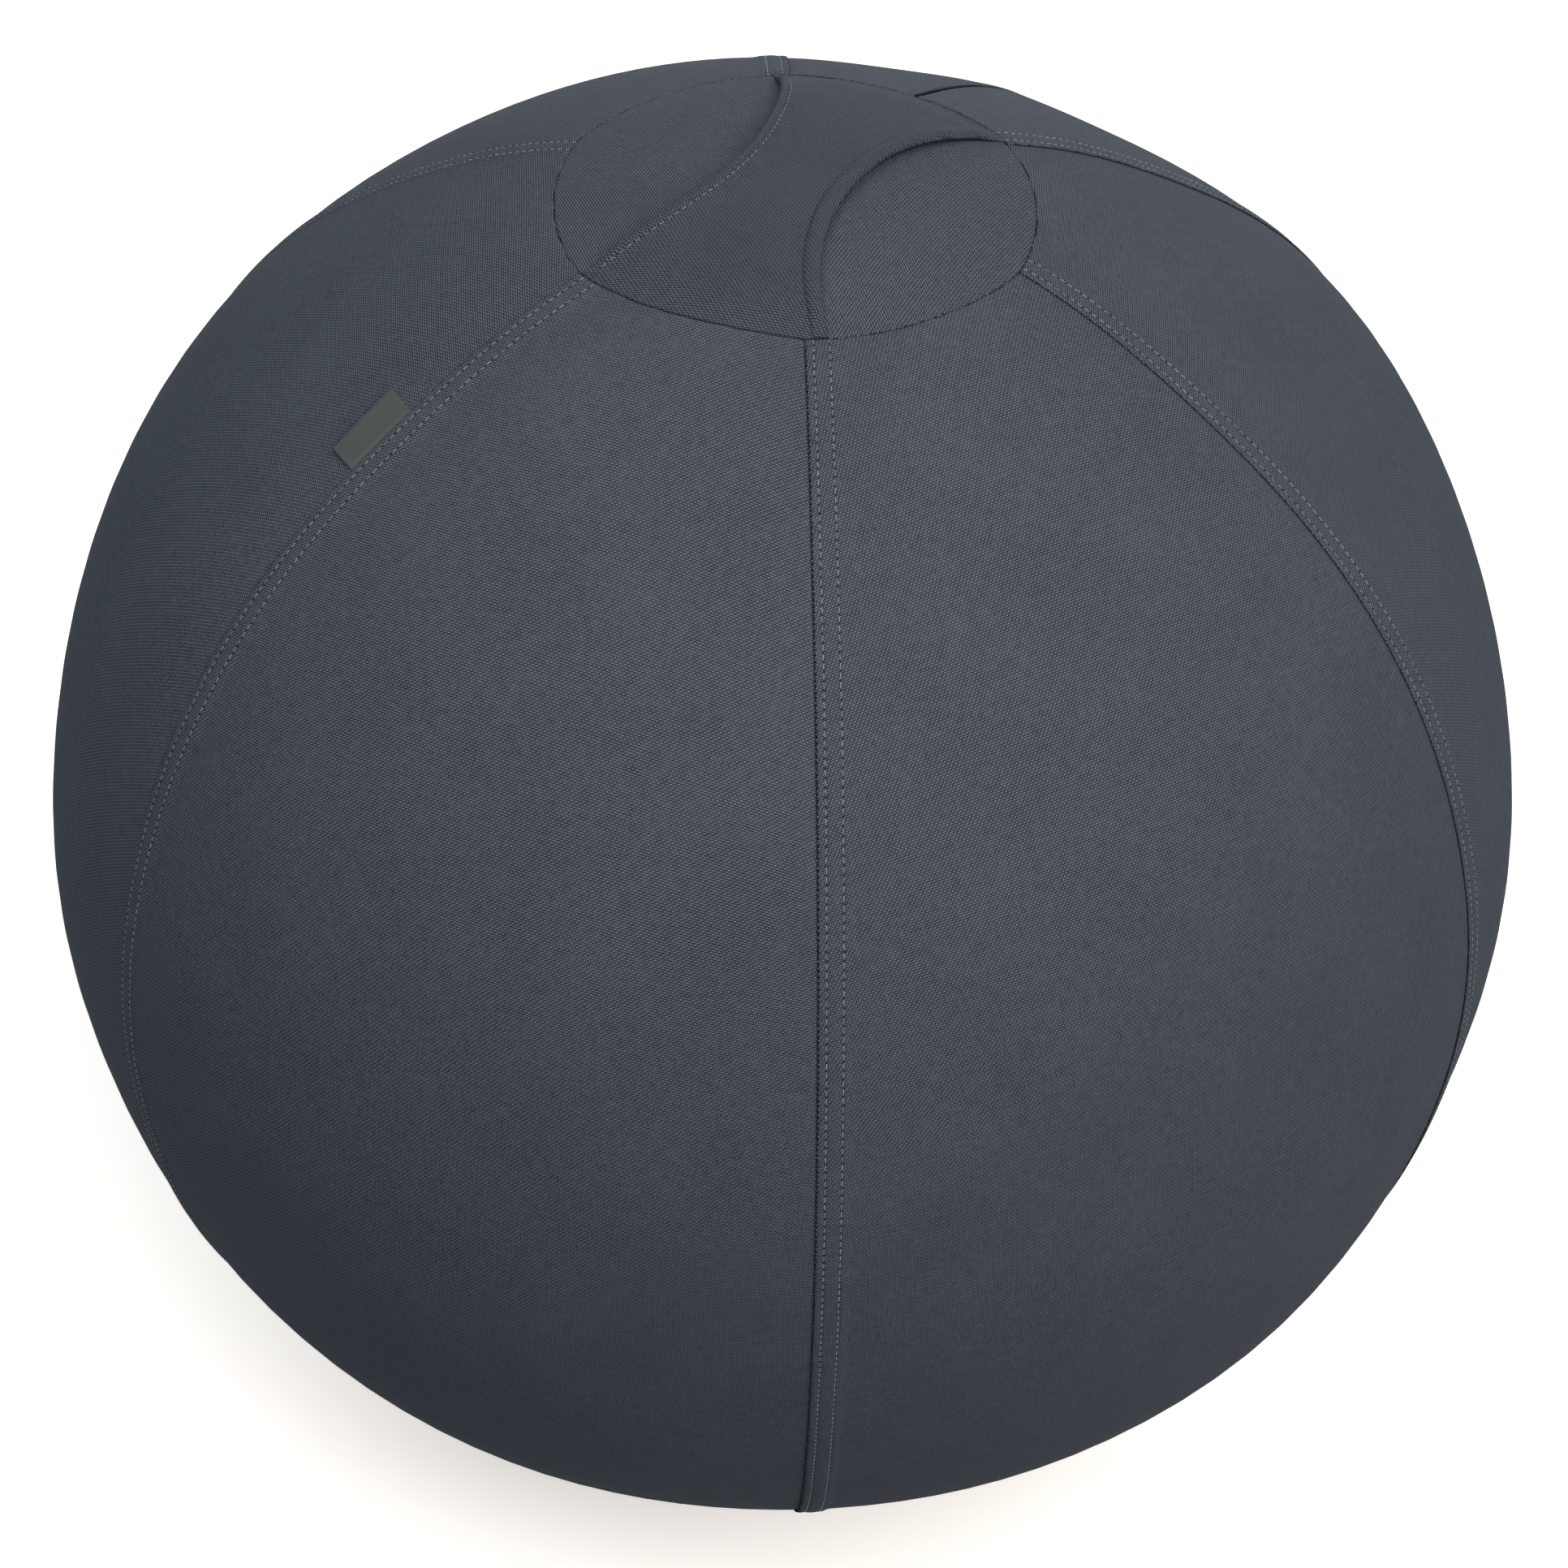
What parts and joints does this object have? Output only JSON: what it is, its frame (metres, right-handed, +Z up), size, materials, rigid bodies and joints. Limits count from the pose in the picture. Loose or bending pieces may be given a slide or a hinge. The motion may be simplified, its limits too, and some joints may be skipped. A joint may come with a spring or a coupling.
{
  "type": "sitting ball",
  "caption": "Round sitting ball in a woven cover of sewn panels, with a flat strap handle across the crown, a concealed zip at the back and a weighted base that keeps it from rolling away.",
  "frame": {"origin": "on the floor, in the middle of the flat that the ball stands on", "axes": "+Z up, the front panel faces -Y, the zip is at the back (+Y) and the handle runs along Y"},
  "size_m": [0.6516, 0.6481, 0.6474],
  "materials": {
    "cover_weave": "coarse plain weave, matt",
    "strap_weave": "coarse plain weave cut on the bias, matt",
    "label_ribbon": "smooth woven ribbon, bare",
    "base_cloth": "coated cloth, matt",
    "zip_tape": "herringbone tape",
    "zip_coil": "nylon coil",
    "zip_metal": "dark enamel on zinc",
    "pouch_cloth": "plain lining cloth",
    "sand": "dry sand",
    "ball_skin": "soft PVC",
    "valve_plastic": "moulded plastic"
  },
  "bodies": {
    "cover": {"crown_disc": "cover_weave", "gore_front": "cover_weave", "gore_front_right": "cover_weave", "gore_rear_right": "cover_weave", "gore_zip_right": "cover_weave", "gore_zip_left": "cover_weave", "gore_rear_left": "cover_weave", "gore_front_left": "cover_weave", "base_disc": "base_cloth", "side_label": "label_ribbon", "zip_tape_right": "zip_tape", "zip_tape_left": "zip_tape", "zip_teeth_right": "zip_coil", "zip_teeth_left": "zip_coil", "zip_end_stop_right": "zip_metal", "zip_end_stop_left": "zip_metal", "zip_start_stop": "zip_metal", "ballast_pouch": "pouch_cloth", "ballast_sand": "sand", "inner_ball": "ball_skin", "valve_seat": "valve_plastic", "valve_plug": "valve_plastic"},
    "handle": {"carry_handle": "strap_weave"},
    "slider": {"zip_slider": "zip_metal"},
    "pull": {"zip_pull": "zip_metal"}
  },
  "joints": [
    {"name": "zip_slide", "type": "hinge", "parent": "cover", "child": "slider", "pos_m": [0, 0, 0.31737], "axis": [0.9976, -0.0698, 0], "range_deg": [0, 94]},
    {"name": "zip_pull_swing", "type": "hinge", "parent": "slider", "child": "pull", "pos_m": [0.01991, 0.28475, 0.15257], "axis": [0.9976, -0.0698, 0], "range_deg": [-30, 150]},
    {"name": "handle_lift", "type": "slide", "parent": "cover", "child": "handle", "axis": [0, 0, 1], "range_m": [0, 0.015]}
  ]
}
